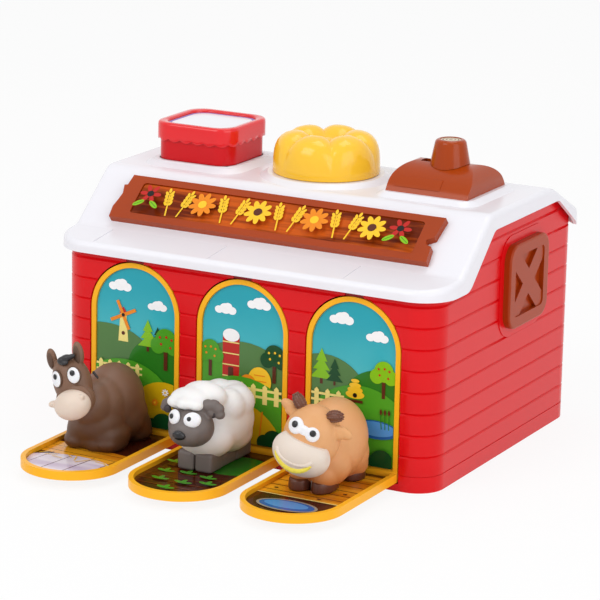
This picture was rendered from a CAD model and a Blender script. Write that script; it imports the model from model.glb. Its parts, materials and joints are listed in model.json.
"""Looks of the toy barn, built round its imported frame: finishes, printed cards, animals and stage."""

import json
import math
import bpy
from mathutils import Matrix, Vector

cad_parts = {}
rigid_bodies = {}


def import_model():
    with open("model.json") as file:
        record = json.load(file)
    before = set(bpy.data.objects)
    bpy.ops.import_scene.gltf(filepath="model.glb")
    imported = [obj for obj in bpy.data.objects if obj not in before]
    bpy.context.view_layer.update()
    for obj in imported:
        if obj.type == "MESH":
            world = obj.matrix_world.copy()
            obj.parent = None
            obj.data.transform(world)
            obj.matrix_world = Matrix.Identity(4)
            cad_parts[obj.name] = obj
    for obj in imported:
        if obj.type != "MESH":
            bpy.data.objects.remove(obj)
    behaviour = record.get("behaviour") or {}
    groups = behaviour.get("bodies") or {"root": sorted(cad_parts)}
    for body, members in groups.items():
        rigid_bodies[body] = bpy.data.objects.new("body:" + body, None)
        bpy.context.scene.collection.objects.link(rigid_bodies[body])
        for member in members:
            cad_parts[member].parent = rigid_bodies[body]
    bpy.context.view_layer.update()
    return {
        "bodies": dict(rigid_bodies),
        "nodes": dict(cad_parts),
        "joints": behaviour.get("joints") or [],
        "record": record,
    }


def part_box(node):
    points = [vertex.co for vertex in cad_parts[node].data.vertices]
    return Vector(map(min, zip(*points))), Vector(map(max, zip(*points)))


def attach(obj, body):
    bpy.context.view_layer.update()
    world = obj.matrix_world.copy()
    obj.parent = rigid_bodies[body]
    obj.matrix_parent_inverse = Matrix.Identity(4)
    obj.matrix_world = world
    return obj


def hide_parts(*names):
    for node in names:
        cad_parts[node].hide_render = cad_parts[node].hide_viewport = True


bl_info = {
    "name": "Toy Barn Looks",
    "version": (1, 0, 0),
    "blender": (4, 5, 0),
    "location": "3D View > Sidebar > Toy Barn",
    "description": "Finishes, printed cards, vinyl animals, stage and camera for the toy barn",
    "category": "Object",
}

import bmesh
import bpy
from mathutils import Euler, Matrix, Vector

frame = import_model()

MM = 0.001
STALLS = ("left", "middle", "right")
LAYER = 0.04 * MM
CARD_RIM = 0.1 * MM  # bare rim that a card shows round its print
ARCH_CUTS = 24
SIGN_RIM = (0.2 * MM, 1.4 * MM)  # bare rim of the sign's print, at its ends and along its sides
# Grain of the soft forms, in millimetres
BODY_VOXEL, HEAD_VOXEL, FACE_VOXEL, SMALL_VOXEL = 0.9, 0.7, 0.5, 0.4
CAP_WINDOW = (26.1, 12.1)  # half width and corner radius of the opening in the button's cap
CAP_SCALLOPS = 24
DECK_UNDER = 176.7  # where the button's flange and the knob's shaft end, under the roof's deck
COLLAR_TOP = 182.5  # top of the roof's raised collars
KNOB_LOBES = 6
KNOB_POINTS = 180
KNOB_WALL_TOP = 190  # below this the knob's wall is upright
KNOB_TURN = 4.0  # degrees that the photo shows the knob past its mark
CRISP, KNOB_CRISP = 50, 60  # degrees past which an edge of the button or the knob stays crisp
TOY_MIDDLE = Vector((0, -0.05, 0.09))
BUMP_STRENGTH = 0.3
PRINT_ROUGHNESS = 0.16
PRINT_GRAIN = 2200.0  # cycles per metre in a laminated card's film
INK_COLORS = {
    "white": "FBFBFD",
    "card": "F1F1F7",
    "border": "8496DC",
    "far_hill": "557F45",
    "hill": "4EA024",
    "near_hill": "2A7A1E",
    "lime": "86C41C",
    "dark_green": "124A22",
    "field": "DDB512",
    "cream": "F6E488",
    "orange": "EF8A17",
    "yellow": "FCC92B",
    "red": "C2231C",
    "trunk": "5B2A17",
    "water": "4E93D6",
    "deep_water": "1F5FA8",
    "dark": "1B1512",
    "stone": "9A8F80",
    "soil": "6B300F",
}
PALE_INKS = ("white", "card")

# Places read from the frame
stall_x = {s: sum(c.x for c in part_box("door_flap_" + s)) / 2 for s in STALLS}
backdrop_low, backdrop_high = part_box("backdrop_card_left")
tray_low, tray_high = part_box("tray_card_left")
card_half = (backdrop_high.x - backdrop_low.x) / 2
arch_z = backdrop_high.z - card_half
arch_y = tray_low.y + card_half


def hex_color(code):
    """Linear colour of a six-digit hex code."""
    values = [int(code[i : i + 2], 16) / 255 for i in (0, 2, 4)]
    return [v / 12.92 if v <= 0.04045 else ((v + 0.055) / 1.055) ** 2.4 for v in values] + [1.0]


# Shared shader groups


def new_group(name, inputs, outputs):
    """Node group with named sockets; inputs are (kind, name, default)."""
    tree = bpy.data.node_groups.new(name, "ShaderNodeTree")
    for kind, label, default in inputs:
        socket = tree.interface.new_socket(name=label, in_out="INPUT", socket_type="NodeSocket" + kind)
        socket.default_value = default
    for kind, label in outputs:
        tree.interface.new_socket(name=label, in_out="OUTPUT", socket_type="NodeSocket" + kind)
    return tree, tree.nodes.new("NodeGroupInput"), tree.nodes.new("NodeGroupOutput")


def feed(tree, socket, value):
    """Link a socket to another one, or set it to a plain value."""
    if hasattr(value, "is_output"):
        tree.links.new(value, socket)
    else:
        socket.default_value = value


def object_point(tree):
    """Socket of the Object coordinates."""
    return tree.nodes.new("ShaderNodeTexCoord").outputs["Object"]


def noise(tree, scale, detail=2.0, stretch=(1, 1, 1)):
    """Noise on Object coordinates; scale is cycles per metre, a number or a socket."""
    mapping = tree.nodes.new("ShaderNodeMapping")
    mapping.inputs["Scale"].default_value = stretch
    texture = tree.nodes.new("ShaderNodeTexNoise")
    texture.inputs["Detail"].default_value = detail
    tree.links.new(object_point(tree), mapping.inputs["Vector"])
    tree.links.new(mapping.outputs["Vector"], texture.inputs["Vector"])
    feed(tree, texture.inputs["Scale"], scale)
    return texture.outputs["Fac"]


def math_node(tree, operation, a, b=None, c=None, clamp=False):
    """Math node from numbers or sockets; gives its output."""
    made = tree.nodes.new("ShaderNodeMath")
    made.operation = operation
    made.use_clamp = clamp
    for socket, value in zip(made.inputs, (a, b, c)):
        if value is not None:
            feed(tree, socket, value)
    return made.outputs[0]


def vector_math(tree, operation, a, b=None):
    """Vector Math node from vectors or sockets; gives its output."""
    made = tree.nodes.new("ShaderNodeVectorMath")
    made.operation = operation
    feed(tree, made.inputs[0], a)
    if b is not None:
        feed(tree, made.inputs["Scale" if operation == "SCALE" else 1], b)
    return made.outputs["Value" if operation == "LENGTH" else "Vector"]


def mix_color(tree, factor, a, b):
    """Colour mix from colours or sockets; gives its output."""
    made = tree.nodes.new("ShaderNodeMix")
    made.data_type = "RGBA"
    for socket, value in ((made.inputs["Factor"], factor), (made.inputs[6], a), (made.inputs[7], b)):
        feed(tree, socket, value)
    return made.outputs[2]


def moulded_group():
    """Slow change of tone and gloss with a fine skin, as injection moulding leaves."""
    tree, given, made = new_group(
        "Moulded skin",
        [
            ("Color", "Color", (0.5, 0.5, 0.5, 1)),
            ("Float", "Tone", 0.08),
            ("Float", "Roughness", 0.25),
            ("Float", "Spread", 0.08),
            ("Float", "Grain", 900.0),
        ],
        [("Color", "Color"), ("Float", "Roughness"), ("Float", "Height")],
    )
    slow = noise(tree, 14.0, 3.0)
    shift = math_node(tree, "SUBTRACT", slow, 0.5)
    level = math_node(tree, "MULTIPLY_ADD", shift, given.outputs["Tone"], 1.0)
    shade = vector_math(tree, "SCALE", given.outputs["Color"], level)
    tree.links.new(shade, made.inputs["Color"])
    rough = math_node(tree, "MULTIPLY_ADD", shift, given.outputs["Spread"], given.outputs["Roughness"])
    tree.links.new(rough, made.inputs["Roughness"])
    tree.links.new(noise(tree, given.outputs["Grain"], 1.0), made.inputs["Height"])
    return tree


def wood_group():
    """Printed plank wood: streaks along one axis with knots and plank joints."""
    tree, given, made = new_group(
        "Printed wood",
        [
            ("Color", "Light", (0.5, 0.25, 0.1, 1)),
            ("Color", "Dark", (0.2, 0.08, 0.03, 1)),
            ("Float", "Across", 160.0),
        ],
        [("Color", "Color"), ("Float", "Streak")],
    )
    streak = noise(tree, given.outputs["Across"], 6.0, (0.08, 1, 1))
    broad = noise(tree, 40.0, 2.0, (0.2, 1, 1))
    wave = math_node(tree, "MULTIPLY_ADD", broad, 18.0, 0.0)
    ring = math_node(tree, "SINE", wave)
    mixed = math_node(tree, "MULTIPLY_ADD", ring, 0.22, streak)
    ramp = tree.nodes.new("ShaderNodeMapRange")
    ramp.inputs["From Min"].default_value = 0.3
    ramp.inputs["From Max"].default_value = 0.75
    tree.links.new(mixed, ramp.inputs["Value"])
    color = mix_color(tree, ramp.outputs[0], given.outputs["Dark"], given.outputs["Light"])
    tree.links.new(color, made.inputs["Color"])
    tree.links.new(ramp.outputs[0], made.inputs["Streak"])
    return tree


def rings_group():
    """Growth rings round a vertical axis through a given point."""
    tree, given, made = new_group(
        "Growth rings",
        [("Vector", "Centre", (0, 0, 0)), ("Float", "Pitch", 0.002)],
        [("Float", "Ring")],
    )
    away = vector_math(tree, "SUBTRACT", object_point(tree), given.outputs["Centre"])
    length = vector_math(tree, "LENGTH", vector_math(tree, "MULTIPLY", away, (1, 1, 0)))
    wobble = math_node(tree, "MULTIPLY_ADD", noise(tree, 120.0), 0.0012, length)
    turns = math_node(tree, "DIVIDE", wobble, given.outputs["Pitch"])
    angle = math_node(tree, "MULTIPLY", turns, 2 * math.pi)
    ring = math_node(tree, "MULTIPLY_ADD", math_node(tree, "SINE", angle), 0.5, 0.5)
    tree.links.new(ring, made.inputs["Ring"])
    return tree


def height_group():
    """Share of the way from one height to another, as a soft sprayed shade."""
    tree, given, made = new_group(
        "Sprayed height",
        [("Float", "Low", 0.0), ("Float", "High", 1.0)],
        [("Float", "Share")],
    )
    split = tree.nodes.new("ShaderNodeSeparateXYZ")
    tree.links.new(object_point(tree), split.inputs[0])
    uneven = math_node(tree, "MULTIPLY_ADD", noise(tree, 45.0), 0.008, split.outputs["Z"])
    share = tree.nodes.new("ShaderNodeMapRange")
    share.interpolation_type = "SMOOTHSTEP"
    tree.links.new(uneven, share.inputs["Value"])
    tree.links.new(given.outputs["Low"], share.inputs["From Min"])
    tree.links.new(given.outputs["High"], share.inputs["From Max"])
    tree.links.new(share.outputs[0], made.inputs["Share"])
    return tree


def use_group(tree, name, **values):
    """Place a shared group with its own values."""
    made = tree.nodes.new("ShaderNodeGroup")
    made.node_tree = bpy.data.node_groups[name]
    for label, value in values.items():
        made.inputs[label].default_value = value
    return made


# Finishes


def start_material(name):
    """Empty material with its Principled BSDF."""
    material = bpy.data.materials.new(name)
    material.use_nodes = True
    return material, material.node_tree, material.node_tree.nodes["Principled BSDF"]


def add_bump(tree, bsdf, height, depth):
    """Faint bump from a height socket; depth in metres."""
    bump = tree.nodes.new("ShaderNodeBump")
    bump.inputs["Strength"].default_value = BUMP_STRENGTH
    bump.inputs["Distance"].default_value = depth
    tree.links.new(height, bump.inputs["Height"])
    tree.links.new(bump.outputs["Normal"], bsdf.inputs["Normal"])


def lay_skin(tree, bsdf, color, roughness, tone, spread, grain, depth):
    """Lay the moulded skin on a shader; gives the socket of its colour."""
    values = {"Tone": tone, "Roughness": roughness, "Spread": spread, "Grain": grain}
    skin = use_group(tree, "Moulded skin", Color=hex_color(color), **values)
    tree.links.new(skin.outputs["Roughness"], bsdf.inputs["Roughness"])
    add_bump(tree, bsdf, skin.outputs["Height"], depth)
    return skin.outputs["Color"]


def lay_print(tree, bsdf, color, height, depth, roughness=PRINT_ROUGHNESS, gloss=0.28):
    """Lay a printed picture on a shader, with its faint relief."""
    tree.links.new(color, bsdf.inputs["Base Color"])
    bsdf.inputs["Roughness"].default_value = roughness
    bsdf.inputs["Specular IOR Level"].default_value = gloss
    add_bump(tree, bsdf, height, depth)


def plastic(
    name, color, roughness=0.22, tone=0.08, spread=0.08, grain=900.0, depth=0.00002, coat=0.0, gloss=0.28
):
    """Moulded plastic of one colour with a slightly uneven skin."""
    material, tree, bsdf = start_material(name)
    base = lay_skin(tree, bsdf, color, roughness, tone, spread, grain, depth)
    tree.links.new(base, bsdf.inputs["Base Color"])
    bsdf.inputs["Specular IOR Level"].default_value = gloss
    bsdf.inputs["Coat Weight"].default_value = coat
    bsdf.inputs["Coat Roughness"].default_value = 0.08
    return material


def vinyl(name, color, low_color=None, low=0.0, high=0.03, roughness=0.5):
    """Soft matt vinyl, sprayed darker or warmer towards the ground."""
    material, tree, bsdf = start_material(name)
    base = lay_skin(tree, bsdf, color, roughness, tone=0.12, spread=0.12, grain=1400.0, depth=0.00003)
    if low_color:
        height = use_group(tree, "Sprayed height", Low=low, High=high)
        base = mix_color(tree, height.outputs["Share"], hex_color(low_color), base)
    tree.links.new(base, bsdf.inputs["Base Color"])
    bsdf.inputs["Subsurface Weight"].default_value = 0.05
    bsdf.inputs["Subsurface Radius"].default_value = (0.004, 0.002, 0.001)
    return material


def print_ink(name, color, tone=0.1):
    """Printed colour on a laminated card."""
    return plastic(name, color, PRINT_ROUGHNESS, tone, spread=0.05, grain=PRINT_GRAIN, depth=0.000004)


def metal(name, color):
    """Drawn steel wire, pins and screws."""
    material, tree, bsdf = start_material(name)
    base = lay_skin(tree, bsdf, color, roughness=0.32, tone=0.2, spread=0.2, grain=2500.0, depth=0.00001)
    tree.links.new(base, bsdf.inputs["Base Color"])
    bsdf.inputs["Metallic"].default_value = 1.0
    return material


def plank_print(name, light, dark, across=120.0, depth=0.00001, **look):
    """Printed boards, on a stall's floor or on the sign."""
    material, tree, bsdf = start_material(name)
    wood = use_group(tree, "Printed wood", Light=hex_color(light), Dark=hex_color(dark), Across=across)
    lay_print(tree, bsdf, wood.outputs["Color"], wood.outputs["Streak"], depth, **look)
    return material


def sky_print():
    """Printed sky, paler towards the hills."""
    material, tree, bsdf = start_material("printed_sky")
    height = use_group(tree, "Sprayed height", Low=arch_z - 30 * MM, High=arch_z + 30 * MM)
    color = mix_color(tree, height.outputs["Share"], hex_color("4FC3CE"), hex_color("22A3B4"))
    lay_print(tree, bsdf, color, noise(tree, PRINT_GRAIN), 0.000006)
    return material


def stump_rings():
    """Printed growth rings on the stump's top."""
    material, tree, bsdf = start_material("stump_rings")
    low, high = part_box("stump_card")
    rings = use_group(tree, "Growth rings", Centre=(low + high) / 2, Pitch=2.2 * MM)
    color = mix_color(tree, rings.outputs["Ring"], hex_color("6B3A1C"), hex_color("F2E3C4"))
    lay_print(tree, bsdf, color, rings.outputs["Ring"], 0.00002, roughness=0.35, gloss=0.5)
    return material


def make_materials():
    """Every finish by name."""
    for build in (moulded_group, wood_group, rings_group, height_group):
        build()
    fine = {"tone": 0.05, "spread": 0.06, "grain": 700.0}
    even = {"depth": 0.00001}
    sign_look = {"depth": 0.00003, "roughness": 0.28, "gloss": 0.1}
    return {
        "barn_red": plastic("barn_red_gloss", "DE0913", 0.24, tone=0.06, grain=700.0, gloss=0.24),
        "base_red": plastic("base_red_matt", "B8121C", 0.45),
        "roof_white": plastic("roof_white_gloss", "EEEDF3", tone=0.03, grain=700.0),
        "inner_grey": plastic("inner_grey_satin", "9A9B9F", 0.45),
        "sign_brown": plastic("sign_brown_gloss", "A33C0A", 0.2, 0.3, 0.1, 300.0, depth=0.00008),
        "sign_print": plank_print("sign_printed_wood", "CC5B1A", "6A2206", 420.0, **sign_look),
        "window_brown": plastic("window_brown_gloss", "A43A0C", 0.26, 0.12, 0.1, 400.0, 0.00004, gloss=0.18),
        "button_red": plastic("button_red_gloss", "E6151E", 0.18, coat=0.45, gloss=0.26, **fine),
        "print_card": print_ink("card_cream", "EFEBF6"),
        "knob_yellow": plastic("knob_yellow_gloss", "FFC834", 0.16, coat=0.15, gloss=0.32, **fine, **even),
        "log_brown": plastic("log_brown_gloss", "A63E06", 0.18, 0.16, 0.1, 500.0, 0.00004, 0.08, gloss=0.2),
        "sleeve_red": plastic("sleeve_red_gloss", "D0101A", 0.2, gloss=0.22, **fine),
        "steel": metal("steel_drawn", "B9BABD"),
        "latch_red": plastic("latch_red_satin", "8E0A12", 0.4),
        "flap_yellow": plastic("flap_amber_gloss", "FFB822", 0.3, gloss=0.18, **fine, **even),
        "scene_card": sky_print(),
        "ground_card": print_ink("printed_soil", "43190B", 0.4),
        "donkey_vinyl": vinyl("donkey_brown", "7A5843", "55351F", 0.016, 0.058),
        "sheep_vinyl": vinyl("sheep_white", "EFEEED", "E6DAD3", 0.014, 0.042, 0.55),
        "bull_vinyl": vinyl("bull_tan", "DEA36C", "CF8A50", 0.015, 0.05),
    }


def ink_set():
    """Printed colours used on the cards."""
    inks = {}
    for name, code in INK_COLORS.items():
        inks[name] = print_ink("ink_" + name, code, 0.03 if name in PALE_INKS else 0.1)
    inks["boards"] = plank_print("ink_boards", "F7AE26", "CF7D10")
    inks["pale_boards"] = plank_print("ink_pale_boards", "EDE2EC", "CDBBD2")
    return inks


# Mesh helpers


def tidy_mesh(bm, name):
    """Mesh from a bmesh with merged doubles and outward normals."""
    bmesh.ops.remove_doubles(bm, verts=bm.verts, dist=1e-7)
    bmesh.ops.recalc_face_normals(bm, faces=bm.faces)
    mesh = bpy.data.meshes.new(name)
    bm.to_mesh(mesh)
    bm.free()
    return mesh


def mount(name, mesh, body):
    """Object of a mesh, riding on a body."""
    piece = bpy.data.objects.new(name, mesh)
    bpy.context.scene.collection.objects.link(piece)
    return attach(piece, body)


def add_piece(name, bm, material, body, sharp=0):
    """Smooth piece from a bmesh; edges of more than sharp degrees stay crisp."""
    mesh = tidy_mesh(bm, name)
    mesh.materials.append(material)
    mesh.shade_smooth()
    if sharp:
        mesh.set_sharp_from_angle(angle=math.radians(sharp))
    return mount(name, mesh, body)


def shift(point):
    """Move to a point in millimetres."""
    return Matrix.Translation([c * MM for c in point])


def add_blob(bm, place, centre, radii, tilt=(0, 0, 0), segments=32):
    """Ellipsoid in a frame; millimetres, tilt in degrees."""
    turn = Euler([math.radians(a) for a in tilt]).to_matrix().to_4x4()
    size = Matrix.Diagonal([r * MM for r in radii] + [1.0])
    spot = place @ shift(centre) @ turn @ size
    bmesh.ops.create_uvsphere(bm, u_segments=segments, v_segments=segments // 2, radius=1.0, matrix=spot)


def edges_of(bm, verts):
    """Edges between some vertices, in the mesh's own order."""
    kept = set(verts)
    return [e for e in bm.edges if e.verts[0] in kept]


def round_edges(bm, edges, radius):
    """Round some edges over; radius in millimetres."""
    shape = {"segments": 4, "profile": 0.5, "affect": "EDGES", "offset_type": "OFFSET", "material": -1}
    bmesh.ops.bevel(bm, geom=edges, offset=radius * MM, **shape)


def add_block(bm, place, centre, size, edge):
    """Block with rounded edges, for square feet and the plunger's blade."""
    scale = Matrix.Diagonal([v * MM for v in size] + [1.0])
    spot = place @ shift(centre) @ scale
    made = bmesh.ops.create_cube(bm, size=1.0, matrix=spot)
    round_edges(bm, edges_of(bm, made["verts"]), edge)


def add_hoof(bm, place, centre, radii, height, edge):
    """Short round hoof with rounded rims."""
    size = Matrix.Diagonal([radii[0] * MM, radii[1] * MM, height * MM, 1.0])
    spot = place @ shift(centre) @ size
    made = bmesh.ops.create_cone(
        bm, cap_ends=True, segments=40, radius1=1.0, radius2=0.93, depth=1.0, matrix=spot
    )
    rims = [e for e in edges_of(bm, made["verts"]) if any(len(f.verts) > 4 for f in e.link_faces)]
    round_edges(bm, rims, edge)


def grow_together(name, bm, material, body, voxel, rounds):
    """One soft vinyl form from overlapping closed forms."""
    piece = bpy.data.objects.new(name, tidy_mesh(bm, name))
    bpy.context.scene.collection.objects.link(piece)
    remesh = piece.modifiers.new("grow together", "REMESH")
    remesh.mode = "VOXEL"
    remesh.voxel_size = voxel * MM
    remesh.use_smooth_shade = True
    smooth = piece.modifiers.new("soften", "SMOOTH")
    smooth.factor = 0.5
    smooth.iterations = rounds
    evaluated = piece.evaluated_get(bpy.context.evaluated_depsgraph_get())
    mesh = bpy.data.meshes.new_from_object(evaluated)
    piece.modifiers.clear()
    piece.data = mesh
    mesh.name = name
    mesh.materials.clear()
    mesh.materials.append(material)
    mesh.shade_smooth()
    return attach(piece, body)


# Printed cards


def in_order(items):
    """Each item once, in the order given, so that every run cuts alike."""
    return list(dict.fromkeys(items))


class Card:
    """A printed sheet in the making: flat shapes on layers over a card, cut to its outline."""

    def __init__(self, inks, place, edges):
        self.bm = bmesh.new()
        self.inks = inks
        self.names = list(inks)
        self.place = place
        self.edges = edges
        self.layer = 0
        self.lift = bpy.context.scene.toybarn_finish.print_lift

    def finish_shape(self, verts, ink):
        """Cut a fresh shape to the card, colour it and lift it to its layer."""
        self.layer += 1
        faces = in_order(f for v in verts for f in v.link_faces)
        for face in faces:
            face.material_index = self.names.index(ink)
        faces = bmesh.ops.triangulate(self.bm, faces=faces)["faces"]
        geom = in_order(v for f in faces for v in f.verts)
        geom += in_order(e for f in faces for e in f.edges) + faces
        for point, outward in self.edges:
            cut = bmesh.ops.bisect_plane(
                self.bm, geom=geom, plane_co=point, plane_no=outward, clear_outer=True, dist=1e-7
            )
            geom = [g for g in cut["geom"] if g.is_valid]
        for vert in [g for g in geom if isinstance(g, bmesh.types.BMVert)]:
            vert.co.z = self.layer * self.lift

    def disc(self, u, v, r, ink, squash=1.0, turn=0.0, segments=40):
        """Ellipse with radius r across and r times squash up."""
        place = Matrix.Translation((u * MM, v * MM, 0)) @ Matrix.Rotation(math.radians(turn), 4, "Z")
        size = Matrix.Diagonal((r * MM, r * squash * MM, 1, 1))
        spot = place @ size
        made = bmesh.ops.create_circle(self.bm, cap_ends=True, segments=segments, radius=1.0, matrix=spot)
        self.finish_shape(made["verts"], ink)

    def polygon(self, points, ink):
        """Filled outline through a few points."""
        verts = [self.bm.verts.new((u * MM, v * MM, 0)) for u, v in points]
        bmesh.ops.contextual_create(self.bm, geom=verts)
        self.finish_shape(verts, ink)

    def bar(self, u, v, w, h, ink, turn=0.0):
        """Rectangle centred on a point."""
        a = math.radians(turn)
        c, s = math.cos(a), math.sin(a)
        corners = [(-w / 2, -h / 2), (w / 2, -h / 2), (w / 2, h / 2), (-w / 2, h / 2)]
        self.polygon([(u + x * c - y * s, v + x * s + y * c) for x, y in corners], ink)

    def piece(self, name, body):
        """Place the sheet on its card and give it its inks."""
        bmesh.ops.delete(self.bm, geom=[v for v in self.bm.verts if not v.link_faces], context="VERTS")
        bmesh.ops.transform(self.bm, matrix=self.place, verts=self.bm.verts)
        if self.place.determinant() < 0:
            bmesh.ops.reverse_faces(self.bm, faces=self.bm.faces)
        mesh = bpy.data.meshes.new(name)
        self.bm.to_mesh(mesh)
        self.bm.free()
        for ink in self.names:
            mesh.materials.append(self.inks[ink])
        return mount(name, mesh, body)

    # Motifs

    def cloud(self, u, v, size):
        for du, dv, r in ((0, 0, 1.0), (-1.1, -0.25, 0.7), (1.1, -0.2, 0.75), (0.45, 0.35, 0.7)):
            self.disc(u + du * size, v + dv * size, r * size, "white", 0.8)

    def conifer(self, u, v, h, ink="lime"):
        self.bar(u, v + h * 0.08, h * 0.09, h * 0.2, "trunk")
        for i in range(3):
            low = v + h * (0.14 + 0.25 * i)
            w = h * (0.36 - 0.09 * i)
            self.polygon([(u - w, low), (u + w, low), (u, low + h * 0.38)], ink)

    def round_tree(self, u, v, h, crown, fruit):
        self.bar(u, v + h * 0.25, h * 0.1, h * 0.5, "trunk")
        for du, dv, r in ((0, 0.72, 0.28), (-0.2, 0.58, 0.2), (0.2, 0.58, 0.2)):
            self.disc(u + du * h, v + dv * h, r * h, crown)
        for du, dv in ((-0.12, 0.62), (0.13, 0.56), (0.02, 0.8), (0.16, 0.75), (-0.15, 0.78)):
            self.disc(u + du * h, v + dv * h, h * 0.032, fruit, segments=16)

    def fence(self, u0, u1, v, h, count):
        for share in (0.35, 0.7):
            self.bar((u0 + u1) / 2, v + h * share, u1 - u0, h * 0.13, "cream")
        for i in range(count):
            u = u0 + (u1 - u0) * (i + 0.5) / count
            w = h * 0.13
            top = v + h
            self.polygon([(u - w, v), (u + w, v), (u + w, top - w), (u, top), (u - w, top - w)], "cream")

    def bush(self, u, v, r):
        for du, dv, share in ((0, 0, 1.0), (-0.9, -0.2, 0.7), (0.9, -0.25, 0.75)):
            self.disc(u + du * r, v + dv * r, r * share, "dark_green")

    def daisy(self, u, v, r, petal="white", eye="yellow", count=8):
        for i in range(count):
            a = 360.0 / count * i
            du, dv = math.cos(math.radians(a)) * r * 0.62, math.sin(math.radians(a)) * r * 0.62
            self.disc(u + du, v + dv, r * 0.42, petal, 0.5, a, 16)
        self.disc(u, v, r * 0.32, eye, segments=20)

    def leaf(self, u, v, length, turn, ink="lime"):
        self.disc(u, v, length / 2, ink, 0.42, turn, 20)
        self.bar(u, v, length * 0.8, length * 0.04, "near_hill", turn)

    def wheat(self, u, v, h, turn=0.0):
        a = math.radians(turn)
        along = Vector((-math.sin(a), math.cos(a)))
        side = Vector((math.cos(a), math.sin(a)))
        base = Vector((u, v))
        mid = base + along * h * 0.45
        self.bar(mid.x, mid.y, h * 0.05, h * 0.9, "yellow", turn)
        for i in range(4):
            for s in (-1, 1):
                spot = base + along * h * (0.5 + 0.13 * i) + side * s * h * 0.09
                self.disc(spot.x, spot.y, h * 0.1, "yellow", 0.5, turn + 90 - s * 28, 14)
        tip = base + along * h
        self.disc(tip.x, tip.y, h * 0.1, "yellow", 0.5, turn + 90, 14)


def arch_edges(low, centre):
    """Planes just inside a card's rim: its sides, straight end and half round, as point and outward."""
    half = card_half - CARD_RIM
    edges = [
        (Vector((-half, 0, 0)), Vector((-1, 0, 0))),
        (Vector((half, 0, 0)), Vector((1, 0, 0))),
        (Vector((0, low + CARD_RIM, 0)), Vector((0, -1, 0))),
    ]
    for i in range(1, ARCH_CUTS):
        a = math.pi * i / ARCH_CUTS
        outward = Vector((math.cos(a), math.sin(a), 0))
        edges.append((Vector((0, centre, 0)) + outward * half, outward))
    return edges


def backdrop(inks, stall):
    """Empty sheet over a stall's backdrop: u to the right, v up from the tray."""
    origin = Vector((stall_x[stall], backdrop_low.y, 0))
    place = Matrix.Translation(origin) @ Matrix.Rotation(math.radians(90), 4, "X")
    return Card(inks, place, arch_edges(backdrop_low.z, arch_z))


def tray_sheet(inks, stall):
    """Empty sheet over a stall's tray: u to the right, v towards the child."""
    place = Matrix.Translation((stall_x[stall], 0, tray_high.z)) @ Matrix.Diagonal((1, -1, 1, 1))
    return Card(inks, place, arch_edges(-tray_high.y, -arch_y))


def paint_left_backdrop(inks):
    """Windmill on a hill over a flower meadow."""
    card = backdrop(inks, "left")
    card.cloud(-13, 112, 5)
    card.cloud(17, 101, 4.2)
    card.disc(-24, 60, 38, "far_hill", 0.62)
    card.disc(26, 56, 32, "near_hill", 0.75)
    card.polygon([(-14, 72), (-6, 72), (-7.6, 92), (-12.4, 92)], "cream")
    card.polygon([(-13.4, 92), (-6.6, 92), (-10, 97)], "red")
    card.disc(-10, 78, 1.4, "trunk")
    for turn in (25, 115, 205, 295):
        a = math.radians(turn)
        card.bar(-10 + 5.5 * math.cos(a), 91 + 5.5 * math.sin(a), 11, 2.4, "orange", turn)
    card.disc(-10, 91, 1.3, "dark")
    card.conifer(10, 68, 22)
    card.conifer(18, 70, 16, "dark_green")
    card.round_tree(24.5, 56, 30, "hill", "red")
    card.disc(-8, 18, 44, "hill", 0.95)
    card.disc(24, 16, 30, "field", 1.05)
    card.fence(-31, 6, 46, 12, 5)
    for u, v in ((-24, 36), (-14, 41), (-3, 35), (8, 30), (-27, 24), (26, 41), (18, 33)):
        card.daisy(u, v, 2.6, "white" if v > 33 else "orange")
    card.bush(-22, 17, 8)
    card.bush(25, 17, 9)
    return card.piece("backdrop_print_left", "door_left")


def paint_middle_backdrop(inks):
    """Silo and haystacks between orchard trees."""
    card = backdrop(inks, "middle")
    card.cloud(-14, 107, 4.6)
    card.cloud(12, 114, 5)
    card.disc(0, 52, 42, "far_hill", 0.8)
    card.disc(-26, 50, 28, "hill", 0.9)
    card.bar(-9, 72, 13, 34, "red")
    card.disc(-9, 89, 6.5, "white", 0.7)
    for i in range(4):
        card.bar(-9, 60 + 8 * i, 13, 0.8, "cream")
    card.bar(-9, 62, 4, 9, "trunk")
    card.round_tree(-25, 58, 26, "hill", "orange")
    card.round_tree(25, 60, 27, "dark_green", "yellow")
    card.disc(14, 60, 9, "yellow", 1.1)
    card.disc(5, 57, 6.5, "orange", 1.0)
    for i in range(3):
        card.bar(14, 56 + 4 * i, 13 - 2.2 * i, 0.7, "orange")
    card.disc(0, 20, 46, "hill", 0.9)
    card.fence(-4, 32, 44, 14, 4)
    card.disc(-6, 8, 40, "field", 0.9)
    for i in range(5):
        card.bar(-20 + 9 * i, 30, 1.0, 18, "orange", 6 - 3 * i)
    card.bush(-25, 20, 8)
    card.bush(26, 19, 8)
    card.conifer(-28, 34, 20)
    return card.piece("backdrop_print_middle", "door_middle")


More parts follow.
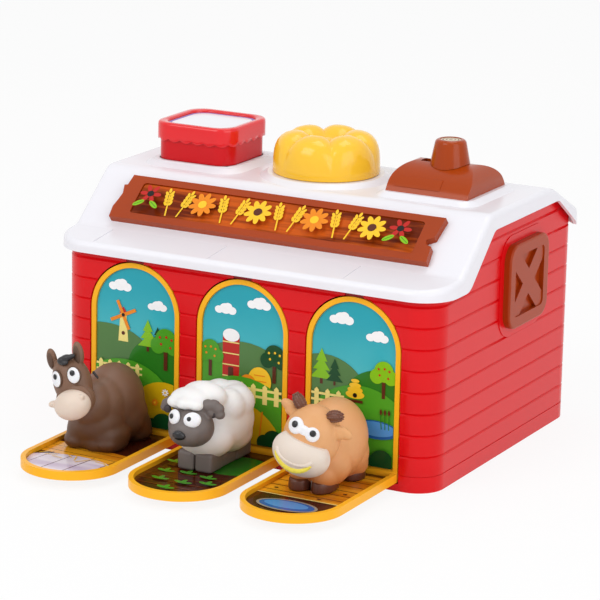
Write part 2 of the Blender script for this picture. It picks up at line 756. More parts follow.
def paint_right_backdrop(inks):
    """Pond with reeds under hills, a beehive by the fence."""
    card = backdrop(inks, "right")
    card.cloud(-10, 113, 5)
    card.cloud(17, 104, 4.6)
    card.disc(-22, 56, 34, "far_hill", 0.9)
    card.disc(24, 60, 30, "near_hill", 0.72)
    card.conifer(-24, 66, 24)
    card.conifer(-14, 66, 18, "dark_green")
    card.disc(6, 30, 42, "hill", 0.92)
    card.round_tree(23, 62, 26, "lime", "red")
    for i in range(4):
        card.disc(2, 62 + 3.2 * i, 7 - 1.3 * i, "yellow", 0.42)
    card.disc(2, 61.5, 1.6, "dark")
    card.bar(2, 57.5, 12, 2, "trunk")
    card.fence(-31, -6, 50, 13, 3)
    card.disc(18, 40, 17, "deep_water", 0.38)
    card.disc(18, 40.6, 15, "water", 0.34)
    for du in (0, 3, 6):
        card.bar(28 - du, 47, 0.7, 12, "near_hill", du)
        card.disc(28 - du, 53, 0.9, "trunk", 2.2)
    card.disc(-16, 12, 26, "field", 1.0)
    for u, v in ((-22, 32), (-12, 34), (-4, 28)):
        card.daisy(u, v, 2.6, "orange", "dark")
    card.bush(-24, 17, 8)
    card.bush(24, 18, 9)
    return card.piece("backdrop_print_right", "door_right")


def paint_left_tray(inks):
    """Straw bed and pale boards at the tray's round end."""
    card = tray_sheet(inks, "left")
    card.polygon([(-34, 163), (34, 171), (34, 193), (-34, 187)], "boards")
    for i in range(2):
        card.bar(0, 174 + 9 * i, 70, 0.5, "trunk", 3)
    card.disc(0, 212, 40, "pale_boards", 0.62)
    for i in range(4):
        card.bar(-24 + 16 * i, 206, 0.5, 40, "soil", 8)
    for i in range(9):
        card.bar(-26 + 6.5 * i, 190 + (i % 3) * 3, 9, 0.8, "yellow", 30 * (i % 5) - 50)
    return card.piece("tray_print_left", "door_left")


def paint_middle_tray(inks):
    """Dark soil with sprouting seedlings."""
    card = tray_sheet(inks, "middle")
    card.disc(14, 150, 26, "near_hill", 0.8)
    for i in range(4):
        card.bar(0, 184 + 9 * i, 60, 1.6, "soil")
    for u, v in ((-20, 184), (-4, 182), (13, 185), (-14, 202), (4, 203), (20, 198), (0, 219), (-22, 168)):
        for turn in (20, 90, 160):
            a = math.radians(turn)
            card.leaf(u + 3 * math.cos(a), v - 3 * math.sin(a), 8, -turn, "hill")
    return card.piece("tray_print_middle", "door_middle")


def paint_right_tray(inks):
    """Boards with an oval of water in the round end."""
    card = tray_sheet(inks, "right")
    card.bar(0, 155, 70, 66, "boards")
    for i in range(6):
        card.bar(0, 128 + 10.5 * i, 70, 0.6, "trunk")
    card.bar(0, 188.6, 70, 1.2, "cream")
    for u, v in ((-24, 176), (22, 166), (12, 184)):
        card.disc(u, v, 1.6, "trunk", 0.6)
    card.disc(0, 206, 22, "stone", 0.5)
    card.disc(0, 206, 20, "deep_water", 0.46)
    card.disc(-1, 205, 16, "water", 0.4)
    return card.piece("tray_print_right", "door_right")


def paint_sign(inks):
    """Row of wheat, flowers and leaves along the signboard."""
    low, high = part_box("sign_inlay")
    slope = math.atan2(high.z - low.z, high.y - low.y)
    length, width = high.x - low.x, math.hypot(high.z - low.z, high.y - low.y)
    normal = Vector((0, -math.sin(slope), math.cos(slope)))
    corners = [v.co for v in frame["nodes"]["sign_inlay"].data.vertices]
    top = max(c.dot(normal) for c in corners)
    middle = (low + high) / 2
    middle += normal * (top - middle.dot(normal))
    place = Matrix.Translation(middle) @ Matrix.Rotation(slope, 4, "X")
    reach = Vector((length / 2 - SIGN_RIM[0], width / 2 - SIGN_RIM[1], 0))
    edges = []
    for sign in (-1, 1):
        edges.append((Vector((sign * reach.x, 0, 0)), Vector((sign, 0, 0))))
        edges.append((Vector((0, sign * reach.y, 0)), Vector((0, sign, 0))))
    card = Card(inks, place, edges)
    for u in (-78, -34, 10, 54):
        card.wheat(u - 4.5, -11.5, 22, 12)
        card.wheat(u + 4.5, -11.5, 22, -12)
    for u, petal in ((-56, "orange"), (-12, "yellow"), (32, "orange"), (76, "yellow")):
        card.daisy(u, 0, 10, petal, "trunk" if petal == "yellow" else "yellow", 9)
    for u in (-98, 97):
        card.daisy(u, 2, 8, "red", "dark", 6)
        card.leaf(u - 6, -7, 9, 35)
        card.leaf(u + 6, -7, 9, -35)
    return card.piece("sign_print_garden", "barn")


def rounded(half, r, count=36):
    """Points round a square with rounded corners, each with its share of the way round."""
    straight, arc = 2 * (half - r), r * math.pi / 2
    points = []
    for side in range(4):
        turn = Matrix.Rotation(side * math.pi / 2, 2)
        for i in range(count):
            way = (straight + arc) * i / count
            if way < straight:
                spot = Vector((half, r - half + way))
            else:
                a = (way - straight) / r
                spot = Vector((half - r + r * math.cos(a), half - r + r * math.sin(a)))
            points.append((turn @ spot, (side + i / count) / 4))
    return points


def paint_button(inks):
    """Blue border on the push button's card, rounded like the cap's opening."""
    low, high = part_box("button_card")
    centre = (low + high) / 2
    card = Card(inks, Matrix.Translation((centre.x, centre.y, high.z)), [])
    for inset, ink in ((0, "border"), (2.6, "card")):
        card.polygon([spot for spot, way in rounded(CAP_WINDOW[0] - inset, CAP_WINDOW[1] - inset)], ink)
    return card.piece("button_print", "push_button")


# Controls on the roof


def add_rings(bm, rings, closed=False):
    """Skin through rings of points; closed joins the last ring to the first, else the ends are filled."""
    loops = []
    for points in rings:
        made = bmesh.ops.create_circle(bm, segments=len(points), radius=1.0)["verts"]
        for vert, point in zip(made, points):
            vert.co = Vector(point) * MM
        loops.append(edges_of(bm, made))
    for lower, upper in zip(loops, loops[1:] + (loops[:1] if closed else [])):
        bmesh.ops.bridge_loops(bm, edges=lower + upper)
    if not closed:
        bmesh.ops.holes_fill(bm, edges=loops[0] + loops[-1])


def square_rings(x, y, shape):
    """Rings from (half width, corner radius, height, scallop depth)."""
    rings = []
    for half, r, z, wave in shape:
        ring = []
        for spot, way in rounded(half, r):
            lift = wave * (1 - abs(math.sin(math.pi * CAP_SCALLOPS * way)))
            ring.append((x + spot.x, y + spot.y, z + lift))
        rings.append(ring)
    return rings


def build_button(finish):
    """Round-cornered cap with a scalloped rim, its sleeve and blade, and the lip it slides in."""
    low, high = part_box("button_cap")
    x, y, top = (low.x + high.x) / 2 / MM, (low.y + high.y) / 2 / MM, high.z / MM
    # The cap's floor lies just under the card's top
    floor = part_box("button_card")[1].z / MM - 0.03
    skirt = low.z / MM - 0.6
    shape = [
        (20.0, 8.0, top - 5.0, 0),
        (30.6, 12.9, top - 5.0, 0),
        (30.6, 12.9, skirt + 0.4, 1.8),
        (31.5, 13.7, skirt, 1.8),
        (32.0, 14.2, skirt + 0.8, 1.5),
        (32.0, 14.2, skirt + 3.4, 0),
        (32.0, 14.2, top - 2.4, 0),
        (31.7, 13.9, top - 1.0, 0),
        (30.9, 13.2, top - 0.2, 0),
        (29.6, 13.0, top, 0),
        (27.6, 12.8, top - 0.1, 0),
        (26.6, 12.5, top - 0.5, 0),
        (26.2, 12.2, top - 1.1, 0),
        (*CAP_WINDOW, floor, 0),
        (12.0, 6.0, floor, 0),
    ]
    bm = bmesh.new()
    add_rings(bm, square_rings(x, y, shape))
    cap = add_piece("button_cap_round", bm, finish["button_red"], "push_button", CRISP)
    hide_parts("button_cap")
    low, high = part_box("button_stem")
    foot, flange = low.z / MM, DECK_UNDER
    bm = bmesh.new()
    inner, outer = (27.9, 10.3), (30.1, 12.5)
    tube = [(*inner, flange - 1, 0), (*inner, top - 5.1, 0), (*outer, top - 5.1, 0), (*outer, flange - 1, 0)]
    add_rings(bm, square_rings(x, y, tube), closed=True)
    add_rings(bm, square_rings(x, y, [(32.5, 8.3, flange - 3, 0), (32.5, 8.3, flange, 0)]))
    blade, hold = stall_x["left"] / MM, flange - 2
    plain = Matrix.Identity(4)
    add_block(bm, plain, (blade, y - 23.0, (foot + hold) / 2), (8.0, 2.4, hold - foot), 0.3)
    add_block(bm, plain, (blade, y - 19.1, (foot + 12 + hold) / 2), (2.4, 10.2, hold - 12 - foot), 0.3)
    sleeve = add_piece("button_sleeve_round", bm, finish["sleeve_red"], "push_button", CRISP)
    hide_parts("button_stem")
    bm = bmesh.new()
    base = COLLAR_TOP
    lip = [(30.5, 12.9, base - 0.7, 0), (30.5, 12.9, base + 0.4, 0), (30.8, 13.2, base + 0.6, 0)]
    lip += [(33.0, 15.0, base + 0.6, 0), (33.8, 15.6, base + 0.4, 0), (34.2, 15.9, base - 0.2, 0)]
    lip += [(34.2, 15.9, base - 0.7, 0)]
    add_rings(bm, square_rings(x, y, lip), closed=True)
    add_piece("button_collar_lip", bm, finish["roof_white"], "barn", CRISP)


def build_knob(finish):
    """Knob like a jelly mould: six lobes that run out towards its foot, round a dimple with a plug."""
    low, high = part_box("twist_knob")
    x, y = (low.x + high.x) / 2 / MM, (low.y + high.y) / 2 / MM
    # Radius, height and how deep the grooves cut, from the shaft's foot up to the plug
    shape = [(7.0, DECK_UNDER, 0), (7.0, COLLAR_TOP + 0.3, 0), (37.5, COLLAR_TOP + 0.3, 0.2)]
    shape += [(37.9, 183.4, 0.3), (37.9, 188, 0.6), (37.7, 193, 1.1), (37.2, 198, 1.9)]
    shape += [(36.3, 201.8, 2.7), (34.7, 205.2, 3.4), (32.2, 208.2, 3.9), (28.8, 210.4, 4.1)]
    shape += [(24.5, 211.7, 4.0), (20.5, 212, 3.8), (16.8, 211.2, 3.2), (13.6, 209.4, 2.4)]
    shape += [(11.2, 207.2, 1.5), (9.4, 205.3, 0.7), (7.6, 204.3, 0.2), (6.0, 204.6, 0)]
    shape += [(4.6, 205.8, 0), (3.0, 206.5, 0), (1.2, 206.7, 0)]
    lobe = math.tau / KNOB_LOBES
    rings = []
    for k, (r, z, depth) in enumerate(shape):
        before, after = shape[max(k - 1, 0)], shape[min(k + 1, len(shape) - 1)]
        slope = Vector((after[1] - before[1], before[0] - after[0])).normalized()
        if z < KNOB_WALL_TOP:
            slope = Vector((1, 0))
        ring = []
        for i in range(KNOB_POINTS):
            a = math.tau * i / KNOB_POINTS
            across = (a - math.radians(KNOB_TURN)) % lobe / (lobe / 2) - 1
            cut = depth * abs(across) ** 2.6
            out = r - cut * slope.x
            ring.append((x + out * math.cos(a), y + out * math.sin(a), z - cut * slope.y))
        rings.append(ring)
    bm = bmesh.new()
    add_rings(bm, rings)
    knob = add_piece("knob_jelly_mould", bm, finish["knob_yellow"], "knob", KNOB_CRISP)
    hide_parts("twist_knob")


# Animals: millimetres from the animal's middle on its tray


class Animal:
    """An animal in the making: its door, its finishes and its frame on the tray."""

    def __init__(self, stall, finish):
        low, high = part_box("animal_screws_" + stall)
        self.at = Matrix.Translation((stall_x[stall], (low.y + high.y) / 2 + MM, tray_high.z))
        self.door = "door_" + stall
        self.finish = finish

    def head(self, origin, roll):
        """Frame of a head that is cocked to one side."""
        return self.at @ shift(origin) @ Matrix.Rotation(math.radians(roll), 4, "Y")

    def soft(self, name, blobs, finish, voxel, rounds):
        """Soft form grown together from ellipsoids, each with its frame."""
        bm = bmesh.new()
        for blob in blobs:
            add_blob(bm, *blob)
        return grow_together(name, bm, self.finish[finish], self.door, voxel, rounds)

    def small(self, name, blobs, finish, segments=28):
        """Ellipsoids kept as they are, for eyes and noses."""
        bm = bmesh.new()
        for blob in blobs:
            add_blob(bm, *blob, segments=segments)
        return add_piece(name, bm, self.finish[finish], self.door)


def placed(frame, *blobs):
    """Ellipsoids, each with the frame that it is given in."""
    return [(frame, *blob) for blob in blobs]


def skin_y(centre, radii, across, up):
    """Front of an ellipsoid at a place seen from the front."""
    left = 1 - ((across - centre[0]) / radii[0]) ** 2 - ((up - centre[2]) / radii[2]) ** 2
    return centre[1] - radii[1] * math.sqrt(max(left, 0.0))


def build_donkey(finish):
    """Brown donkey with its head cocked, a pale muzzle and spread feet."""
    donkey = Animal("left", finish)
    at, head = donkey.at, donkey.head((-1.5, -42, 38.8), -20)
    body = placed(
        at,
        ((-2, 8.5, 27.5), (20.7, 25.7, 27.3)),
        ((-1, 12, 18), (21.8, 21.8, 20.3)),
        ((-4, -9, 18), (20, 18.5, 18.5)),
        ((-3, -16, 32), (14.5, 16.5, 16.5)),
        ((-2.5, -6, 29), (18, 18.5, 21)),
        ((-11, -12, 12), (13, 14, 13)),
        ((5, -8, 10), (14.5, 16, 11)),
        ((-3, -14, 5.5), (12, 10.5, 7)),
        ((0.5, -19, 4.5), (8, 6, 6.5)),
        ((6, 20, 10), (14.5, 13, 12)),
        ((-14.5, -11, 5), (11.3, 16.3, 7.5)),
        ((8, -9, 5), (10.8, 15.8, 7.5)),
        ((-11, 21, 5), (10, 11.5, 7.5)),
        ((9.5, 21, 5), (11.3, 12.3, 7.5)),
    )
    piece = donkey.soft("donkey_body", body, "donkey_vinyl", BODY_VOXEL, 28)
    skull = placed(
        head,
        ((-2, 8, 13.5), (13.8, 12, 19)),
        ((-0.5, 3.5, 1.5), (14.8, 10, 11.3)),
        ((-12.9, 8, 32), (3.9, 2.8, 7.8), (0, 7, 0)),
        ((9.2, 8, 31.5), (4.3, 2.8, 8.6), (0, 10, 0)),
    )
    donkey.soft("donkey_head", skull, "donkey_vinyl", HEAD_VOXEL, 6)
    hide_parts("donkey")
    muzzle = placed(
        head,
        ((0.3, -3, -0.2), (13.6, 10.5, 10.6)),
        ((-12.5, -6.5, 3.7), (3.4, 2.8, 2.3)),
        ((11.6, -7, 4.0), (2.6, 1.6, 1.8)),
    )
    donkey.soft("donkey_muzzle", muzzle, "muzzle", HEAD_VOXEL, 3)
    ridge = placed(head, ((0, 1.6, 2.2), (14.4, 5.0, 11.8), (14, 0, 0)))
    donkey.soft("donkey_muzzle_ridge", ridge, "donkey_vinyl", HEAD_VOXEL, 2)
    rims, whites, pupils = [], [], []
    for side, (x, y, z) in ((-1, (-5.9, -3.3, 19.2)), (1, (7.3, -1.6, 18.9))):
        tilt = (-10, 0, side * 18)
        rims.append((head, (x, y + 0.5, z), (5.1, 1.9, 6.2), tilt))
        whites.append((head, (x, y, z), (4.5, 2, 5.6), tilt))
        pupils.append((head, (x + 0.5, y - 1.9, z + 1.9), (1.8, 0.7, 2.0), tilt))
    donkey.small("donkey_eye_rims", rims, "ear_inside")
    donkey.small("donkey_eyes", whites, "eye_white")
    donkey.small("donkey_pupils", pupils, "pupil")
    ears = placed(
        head,
        ((-12.9, 5.7, 31.6), (2.2, 0.9, 5.4), (0, 7, 0)),
        ((9.2, 5.7, 31.0), (2.4, 0.9, 6.2), (0, 10, 0)),
    )
    donkey.small("donkey_ear_insides", ears, "ear_inside")
    lock = placed(
        head,
        ((0, 1, 30), (4, 3, 3)),
        ((3, 1.5, 31), (4.5, 3, 2.6)),
        ((7, 2.5, 31.3), (3, 2.5, 1.7)),
        ((2, -0.5, 28), (3, 2, 1.5)),
    )
    donkey.soft("donkey_forelock", lock, "black_hair", FACE_VOXEL, 3)
    mane = []
    for i in range(4):
        spot = (9.6 + 0.8 * i, 18.2 - 0.2 * i, 15.5 - 1.3 * i)
        mane.append((head, spot, (1.0 - 0.15 * i, 1.2, 1.2)))
    donkey.soft("donkey_mane", mane, "black_hair", FACE_VOXEL, 3)


def build_sheep(finish):
    """White fleece with a grey face, curled ears and square feet."""
    sheep = Animal("middle", finish)
    at = sheep.at
    fleece = placed(
        at,
        ((0.5, 5, 29.5), (21.5, 27, 22.5)),
        ((-1, -12, 22), (20.5, 17, 15)),
        ((0.5, 10, 19), (19.5, 20, 13)),
        ((0, -17, 51.5), (16.5, 12, 10)),
        ((-4.5, -27, 50.5), (15, 11, 8.6)),
    )
    for i in range(7):
        a = math.tau / 7 * i + math.radians(20)
        fleece.append((at, (11.5 * math.cos(a), 4 + 12.5 * math.sin(a), 42.5), (12.5, 12.5, 12)))
    for x, y, up, width in ((-12, -34, 50, 6.5), (-3.5, -37, 50.8, 6.5), (4.5, -34.5, 50.2, 5.5)):
        fleece.append((at, (x, y, up), (width, 6, 4.2)))
    piece = sheep.soft("sheep_fleece", fleece, "sheep_vinyl", BODY_VOXEL, 30)
    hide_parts("sheep")
    face = placed(at, ((-0.5, -33, 34.3), (16.3, 13, 14)), ((-0.7, -40, 32), (12.3, 9, 9.8)))
    near = [(7.5, -31, 46.8, 5), (13.5, -30.5, 45.5, 4.6), (11, -31, 49.8, 5), (15, -30.5, 50.4, 4.7)]
    near += [(18.2, -30, 48.4, 4.4), (19.4, -30, 44.8, 3.9)]
    far = [(-14, -29, 47, 4.8), (-18, -29, 48, 4.4), (-21.5, -29, 46, 4.0), (-22.5, -30, 43.5, 3.4)]
    for x, y, up, r in near + far:
        face.append((at, (x, y, up), (r, r - 0.6, r - 0.5)))
    sheep.soft("sheep_face", face, "sheep_grey", HEAD_VOXEL, 5)
    folds = placed(
        at,
        ((15.8, -32.4, 45.0), (2.4, 1.2, 2.8), (0, 20, 0)),
        ((-19.2, -32.4, 43.2), (3.0, 1.4, 2.7)),
    )
    sheep.small("sheep_ear_folds", folds, "fleece_shade")
    bm = bmesh.new()
    for x, width in ((-9.2, 12.6), (4.5, 13.2)):
        add_block(bm, at, (x, -17.5, 7.0), (width, 17, 13.5), 2.4)
        add_block(bm, at, (x, 20, 6.5), (width, 21, 12.5), 2.4)
        add_block(bm, at, (x, 3, 4.6), (width - 1.6, 32, 8.6), 2.0)
    add_piece("sheep_legs", bm, finish["sheep_grey"], sheep.door)
    whites = placed(
        at,
        ((-7.7, -43, 42.2), (5.2, 2.4, 5.1), (-14, 6, -24)),
        ((6, -43, 42.2), (6, 2.4, 5.1), (-14, -6, 24)),
    )
    sheep.small("sheep_eyes", whites, "eye_white")
    pupils = placed(
        at,
        ((-8.8, -45.2, 43.2), (1.7, 0.7, 1.8), (-14, 0, -18)),
        ((4.9, -45.2, 43.1), (1.8, 0.7, 1.8), (-14, 0, 18)),
    )
    sheep.small("sheep_pupils", pupils, "pupil")
    nose = placed(at, ((-0.8, -48.6, 31.8), (4.9, 3, 3.1)), ((-0.8, -49.5, 33.2), (3.6, 2.4, 2.2)))
    sheep.soft("sheep_nose", nose, "pupil", SMALL_VOXEL, 3)


def build_bull(finish):
    """Tan bull with a shelf of a muzzle, ridged horns and round hooves."""
    bull = Animal("right", finish)
    at, head = bull.at, bull.head((0, -28, 36), 15)
    body = placed(
        at,
        ((1.5, 6.5, 29.5), (21.7, 26.7, 28.3)),
        ((0.5, 15.5, 19), (21.3, 16.8, 19.5)),
        ((1, -8, 18), (20.3, 16.3, 17.5)),
        ((-10, -17, 13), (9, 9.5, 9)),
        ((6.5, -14, 12), (9.6, 13, 10)),
        ((-8.5, 18.5, 13), (9, 9.5, 9)),
        ((10.5, 18.5, 11), (9.6, 10.5, 9)),
    )
    body += placed(head, ((0, 4, 3), (19.3, 17.8, 21.6)))
    piece = bull.soft("bull_body", body, "bull_vinyl", BODY_VOXEL, 16)
    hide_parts("bull")
    skull = placed(
        head,
        ((0, 4, 3), (19.5, 18, 22)),
        ((0, -4, -4), (18.3, 13.5, 15)),
        ((-22.3, 5, 16), (6.4, 2.8, 3.8), (0, 6, -8)),
        ((-19.5, 4.5, 13.5), (4.5, 2.8, 3.8)),
        ((20.5, 3, 15.2), (7.4, 2.7, 4.2), (0, 6, 6)),
        ((18, 2.5, 13.5), (5, 3, 4.4)),
    )
    bull.soft("bull_head", skull, "bull_vinyl", HEAD_VOXEL, 5)
    centre, radii = (1, -8.5, -5.6), (20.6, 13.9, 14.8)
    bm = bmesh.new()
    add_blob(bm, head, centre, radii, segments=56)
    turn = head.to_3x3()
    for point, outward in (((0, 0, 3.6), (0.03, 0.12, 1)), ((18.9, 0, 2), (1, 0, 0.35))):
        geom = bm.verts[:] + bm.edges[:] + bm.faces[:]
        spot, normal = head @ (Vector(point) * MM), turn @ Vector(outward)
        bmesh.ops.bisect_plane(bm, geom=geom, plane_co=spot, plane_no=normal, clear_outer=True)
        bmesh.ops.holes_fill(bm, edges=[e for e in bm.edges if e.is_boundary])
    grow_together("bull_muzzle", bm, finish["bull_muzzle"], bull.door, FACE_VOXEL, 3)
    lip, fold = [], []
    for i in range(15):
        a = math.radians(-76 + 11 * i)
        x, z = 0.8 + 12.6 * math.sin(a), -4.6 - 8.6 * math.cos(a)
        thick = 0.5 + 2.1 * max(math.cos(a), 0)
        lip.append((head, (x, skin_y(centre, radii, x, z) + 0.5, z), (2.0, 1.5, thick)))
        x, z = 0.8 + 13.0 * math.sin(a), -2.8 - 6.0 * math.cos(a)
        fold.append((head, (x, skin_y(centre, radii, x, z) + 0.5, z), (2.0, 1.4, 1.3)))
    bull.soft("bull_lip", lip, "lip_yellow", FACE_VOXEL, 3)
    bull.soft("bull_muzzle_fold", fold, "bull_muzzle", FACE_VOXEL, 3)
    bm = bmesh.new()
    for x, y, reach in ((-10, -18.5, 9.4), (6, -14.0, 13.4), (-8.5, 18.5, 9.4), (10.3, 18.5, 9.8)):
        add_hoof(bm, at, (x, y, 4.2), (7.9, reach), 8.0, 1.6)
    add_piece("bull_hooves", bm, finish["hoof_brown"], bull.door)
    horns, ridges = [], []
    for root, lean, reach in (((-14.7, 3, 22.3), -48, 6.4), ((12.4, 2, 23.8), 65, 6.0)):
        horn = head @ shift(root) @ Matrix.Rotation(math.radians(lean), 4, "Y")
        for i in range(7):
            a = math.tau / 7 * i + math.radians(15)
            for k in range(-3, 4):
                share = 0.28 * k
                out = math.sqrt(1 - share * share)
                spot = (3.6 * out * math.cos(a), 3.2 * out * math.sin(a), share * reach)
                ridges.append((horn, spot, (0.5 + 0.35 * out, 0.5 + 0.35 * out, 1.3)))
        horns.append((horn, (0, 0, 0), (3.7, 3.3, reach)))
    bull.soft("bull_horns", horns, "hoof_brown", SMALL_VOXEL, 2)
    bull.small("bull_horn_ridges", ridges, "horn_ridge", 14)
    whites = placed(
        head,
        ((-6.8, -10.8, 12.3), (6.0, 2.5, 5.7), (-16, 0, -14)),
        ((5.9, -10.8, 11.1), (5.0, 2.4, 5.0), (-16, 0, 14)),
        ((0, -11.6, 11.4), (5, 2, 3.9)),
    )
    bull.soft("bull_eyes", whites, "eye_white", SMALL_VOXEL, 3)
    pupils = placed(
        head,
        ((-7.0, -13.2, 13.9), (2.3, 0.8, 2.3), (-16, 0, -14)),
        ((6.9, -12.8, 12.9), (2.2, 0.8, 2.2), (-16, 0, 14)),
    )
    bull.small("bull_pupils", pupils, "pupil")


def animal_finishes(made):
    """Finishes that only the animals' small features use."""
    made.update(
        {
            "muzzle": vinyl("muzzle_beige", "E2CFBF", "D2B7A4", 0.02, 0.05),
            "bull_muzzle": vinyl("bull_muzzle_cream", "E2D4C7", "D6C4B1", 0.02, 0.05),
            "fleece_shade": vinyl("ear_fold_dark", "33292A"),
            "eye_white": vinyl("eye_white", "F0F0F4", roughness=0.35),
            "pupil": vinyl("pupil_black", "17171B", roughness=0.3),
            "ear_inside": vinyl("ear_inside_brown", "5A3F2E"),
            "black_hair": vinyl("black_hair", "1E1C1F", roughness=0.4),
            "sheep_grey": vinyl("sheep_grey", "6A605C", "776C68", 0.012, 0.04),
            "hoof_brown": vinyl("hoof_brown", "70402A", "54291A", 0.01, 0.03, 0.35),
            "lip_yellow": vinyl("lip_yellow", "F1DF4E"),
            "horn_ridge": vinyl("horn_ridge_brown", "6F4330", roughness=0.35),
        }
    )
    return made


# Stage


def seen_rays(tree, path):
    """One for rays from the camera, off a mirror or through clear plastic, else nought."""
    direct = math_node(tree, "ADD", path.outputs["Is Camera Ray"], path.outputs["Is Glossy Ray"], clamp=True)
    return math_node(tree, "ADD", direct, path.outputs["Is Transmission Ray"], clamp=True)


def stage_material(settings):
    """Pale floor that keeps the object's shadow and looks white to the camera."""
    material, tree, bsdf = start_material("stage_floor")
    bsdf.inputs["Roughness"].default_value = 0.7
    color = mix_color(tree, noise(tree, 60.0), [*settings.floor_color, 1], (0.97, 0.97, 0.97, 1))
    tree.links.new(color, bsdf.inputs["Base Color"])
    glow = tree.nodes.new("ShaderNodeEmission")
    glow.inputs["Strength"].default_value = 1.0
    path = tree.nodes.new("ShaderNodeLightPath")
    share = math_node(tree, "MULTIPLY", seen_rays(tree, path), settings.floor_glow)
    mix = tree.nodes.new("ShaderNodeMixShader")
    out = tree.nodes["Material Output"]
    tree.links.new(share, mix.inputs[0])
    tree.links.new(bsdf.outputs[0], mix.inputs[1])
    tree.links.new(glow.outputs[0], mix.inputs[2])
    tree.links.new(mix.outputs[0], out.inputs["Surface"])
    return material


def build_floor(settings):
    """Round floor under the toy."""
    bm = bmesh.new()
    bmesh.ops.create_circle(bm, cap_ends=True, segments=96, radius=settings.floor_radius)
    floor = bpy.data.objects.new("stage_floor", tidy_mesh(bm, "stage_floor"))
    bpy.context.scene.collection.objects.link(floor)
    floor.data.materials.append(stage_material(settings))


def build_world(settings):
    """White surround: a fixed white for the camera and mirrors, a softer light for the object."""
    world = bpy.data.worlds.new("studio")
    bpy.context.scene.world = world
    world.use_nodes = True
    tree = world.node_tree
    light = tree.nodes["Background"]
    light.inputs["Color"].default_value = (1, 1, 1, 1)
    light.inputs["Strength"].default_value = settings.surround
    seen = tree.nodes.new("ShaderNodeBackground")
    seen.inputs["Color"].default_value = (1, 1, 1, 1)
    path = tree.nodes.new("ShaderNodeLightPath")
    mix = tree.nodes.new("ShaderNodeMixShader")
    tree.links.new(seen_rays(tree, path), mix.inputs[0])
    tree.links.new(light.outputs[0], mix.inputs[1])
    tree.links.new(seen.outputs[0], mix.inputs[2])
    tree.links.new(mix.outputs[0], tree.nodes["World Output"].inputs["Surface"])


def add_softbox(name, place, size, power):
    """Square area lamp aimed at the toy's middle."""
    lamp = bpy.data.lights.new(name, "AREA")
    lamp.shape = "SQUARE"
    lamp.size = size
    lamp.energy = power
    holder = bpy.data.objects.new(name, lamp)
    holder.location = place
    holder.rotation_mode = "QUATERNION"
    holder.rotation_quaternion = (TOY_MIDDLE - Vector(place)).to_track_quat("-Z", "Y")
    bpy.context.scene.collection.objects.link(holder)


def build_camera(settings):
    """Camera at the photographer's place, with the roll that the photo shows."""
    a, e, r = settings.azimuth, settings.elevation, settings.roll
    back = Vector((math.sin(a) * math.cos(e), -math.cos(a) * math.cos(e), math.sin(e)))
    across = Vector((0, 0, 1)).cross(back).normalized()
    up = back.cross(across)
    across, up = math.cos(r) * across + math.sin(r) * up, -math.sin(r) * across + math.cos(r) * up
    camera = bpy.data.cameras.new("photo_camera")
    camera.sensor_width = 36.0
    camera.lens = settings.lens
    holder = bpy.data.objects.new("photo_camera", camera)
    turn = Matrix((across, up, back)).transposed()
    place = Vector(settings.target) + back * settings.distance
    holder.matrix_world = Matrix.Translation(place) @ turn.to_4x4()
    bpy.context.scene.collection.objects.link(holder)
    bpy.context.scene.camera = holder


# Add-on classes


class ToyBarnFinish(bpy.types.PropertyGroup):
    """Sizes that the looks take from the user."""

    print_lift: bpy.props.FloatProperty(
        name="Print lift",
        description="Step between two printed layers",
        default=LAYER,
        unit="LENGTH",
        precision=6,
    )


class ToyBarnStage(bpy.types.PropertyGroup):
    """Camera, floor and lamps."""

    azimuth: bpy.props.FloatProperty(
        name="Azimuth",
        description="Camera's angle to the right of the front",
        default=math.radians(27.83),
        subtype="ANGLE",
    )
    elevation: bpy.props.FloatProperty(
        name="Elevation",
        description="Camera's angle above the horizon",
        default=math.radians(14.75),
        subtype="ANGLE",
    )
    roll: bpy.props.FloatProperty(
        name="Roll",
        description="Camera's turn about its own line",
        default=math.radians(1.17),
        subtype="ANGLE",
    )
    distance: bpy.props.FloatProperty(
        name="Distance", description="From the camera to its target", default=2.23268, unit="LENGTH"
    )
    target: bpy.props.FloatVectorProperty(
        name="Target",
        description="Point that the camera looks at",
        default=(-0.01729, 0.0, 0.08695),
        subtype="XYZ",
        unit="LENGTH",
    )
    lens: bpy.props.FloatProperty(
        name="Lens", description="Focal length on a 36 mm sensor", default=187.57, unit="CAMERA"
    )
    floor_radius: bpy.props.FloatProperty(
        name="Floor radius", description="Radius of the floor", default=12.0, unit="LENGTH"
    )
    floor_color: bpy.props.FloatVectorProperty(
        name="Floor colour", description="Colour of the floor", default=(0.93, 0.93, 0.94), subtype="COLOR"
    )
    floor_glow: bpy.props.FloatProperty(
        name="Floor white",
        description="Share of plain white that the camera sees",
        default=0.88,
        subtype="FACTOR",
    )
    surround: bpy.props.FloatProperty(
        name="Surround", description="Strength of the white surround's light", default=0.53
    )
    key_power: bpy.props.FloatProperty(
        name="Key power", description="Power of the key softbox", default=19.5, unit="POWER"
    )
    fill_power: bpy.props.FloatProperty(
        name="Fill power", description="Power of the fill softbox", default=15.0, unit="POWER"
    )
    top_power: bpy.props.FloatProperty(
        name="Top power", description="Power of the softbox overhead", default=10.0, unit="POWER"
    )


# Filled by the first step, for the others
FINISH = {}
INKS = {}


class TOYBARN_OT_finishes(bpy.types.Operator):
    """Give every CAD piece its finish"""

    bl_idname = "toybarn.finishes"
    bl_label = "Finishes"

    def execute(self, context):
        FINISH.update(animal_finishes(make_materials()))
        INKS.update(ink_set())
        slots = {part["node"]: part["material_slot"] for part in frame["record"]["subparts"]}
        # Red in place of the record's grey, because the levers' noses are the tabs over the arches
        for stall in STALLS:
            slots["latch_lever_" + stall] = "latch_red"
        for node, piece in frame["nodes"].items():
            for slot in piece.material_slots:
                slot.material = FINISH[slots[node]]
        for slot in frame["nodes"]["stump_card"].material_slots:
            slot.material = stump_rings()
        return {"FINISHED"}


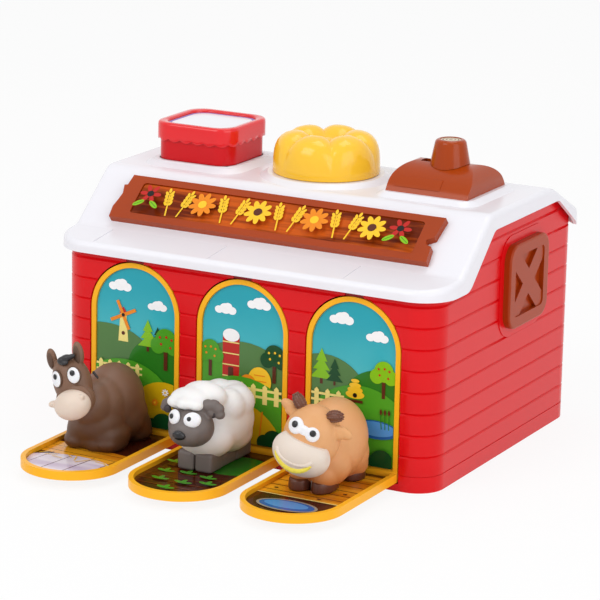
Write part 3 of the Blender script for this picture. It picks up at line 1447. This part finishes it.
class TOYBARN_OT_backdrops(bpy.types.Operator):
    """Print the farm scenes on the three backdrops"""

    bl_idname = "toybarn.backdrops"
    bl_label = "Backdrop prints"

    def execute(self, context):
        for paint in (paint_left_backdrop, paint_middle_backdrop, paint_right_backdrop):
            paint(INKS)
        return {"FINISHED"}


class TOYBARN_OT_trays(bpy.types.Operator):
    """Print the ground on the three trays"""

    bl_idname = "toybarn.trays"
    bl_label = "Tray prints"

    def execute(self, context):
        for paint in (paint_left_tray, paint_middle_tray, paint_right_tray):
            paint(INKS)
        return {"FINISHED"}


class TOYBARN_OT_sign(bpy.types.Operator):
    """Print the signboard and the push button's card"""

    bl_idname = "toybarn.sign"
    bl_label = "Sign and button prints"

    def execute(self, context):
        paint_sign(INKS)
        paint_button(INKS)
        return {"FINISHED"}


class TOYBARN_OT_controls(bpy.types.Operator):
    """Model the push button and the knob"""

    bl_idname = "toybarn.controls"
    bl_label = "Button and knob"

    def execute(self, context):
        build_button(FINISH)
        build_knob(FINISH)
        return {"FINISHED"}


class TOYBARN_OT_donkey(bpy.types.Operator):
    """Model the donkey"""

    bl_idname = "toybarn.donkey"
    bl_label = "Donkey"

    def execute(self, context):
        build_donkey(FINISH)
        return {"FINISHED"}


class TOYBARN_OT_sheep(bpy.types.Operator):
    """Model the sheep"""

    bl_idname = "toybarn.sheep"
    bl_label = "Sheep"

    def execute(self, context):
        build_sheep(FINISH)
        return {"FINISHED"}


class TOYBARN_OT_bull(bpy.types.Operator):
    """Model the bull"""

    bl_idname = "toybarn.bull"
    bl_label = "Bull"

    def execute(self, context):
        build_bull(FINISH)
        return {"FINISHED"}


class TOYBARN_OT_stage(bpy.types.Operator):
    """Set up floor, surround, lamps and camera"""

    bl_idname = "toybarn.stage"
    bl_label = "Stage"

    def execute(self, context):
        settings = context.scene.toybarn_stage
        build_floor(settings)
        build_world(settings)
        add_softbox("key_softbox", (-0.7, -1.9, 1.7), 1.4, settings.key_power)
        add_softbox("fill_softbox", (2.0, -0.9, 1.0), 1.6, settings.fill_power)
        add_softbox("top_softbox", (0.1, 0.3, 2.2), 1.2, settings.top_power)
        build_camera(settings)
        return {"FINISHED"}


class TOYBARN_PT_panel(bpy.types.Panel):
    """Sidebar panel that lists the toy barn's steps"""

    bl_label = "Toy Barn"
    bl_idname = "TOYBARN_PT_panel"
    bl_space_type = "VIEW_3D"
    bl_region_type = "UI"
    bl_category = "Toy Barn"

    def draw(self, context):
        for step in STEPS:
            self.layout.operator(step.bl_idname)
        for group in (context.scene.toybarn_finish, context.scene.toybarn_stage):
            for name in group.__annotations__:
                self.layout.prop(group, name)


STEPS = (
    TOYBARN_OT_finishes,
    TOYBARN_OT_backdrops,
    TOYBARN_OT_trays,
    TOYBARN_OT_sign,
    TOYBARN_OT_controls,
    TOYBARN_OT_donkey,
    TOYBARN_OT_sheep,
    TOYBARN_OT_bull,
    TOYBARN_OT_stage,
)
CLASSES = (ToyBarnFinish, ToyBarnStage) + STEPS + (TOYBARN_PT_panel,)


def register():
    for one in CLASSES:
        bpy.utils.register_class(one)
    bpy.types.Scene.toybarn_finish = bpy.props.PointerProperty(type=ToyBarnFinish)
    bpy.types.Scene.toybarn_stage = bpy.props.PointerProperty(type=ToyBarnStage)


def unregister():
    del bpy.types.Scene.toybarn_finish
    del bpy.types.Scene.toybarn_stage
    for one in reversed(CLASSES):
        bpy.utils.unregister_class(one)


def main():
    """Run every step in order and note the CAD box and the dressed box."""
    register()
    for step in STEPS:
        group, name = step.bl_idname.split(".")
        getattr(getattr(bpy.ops, group), name)()
    bpy.context.scene.view_settings.view_transform = "Standard"


if __name__ == "__main__":
    main()
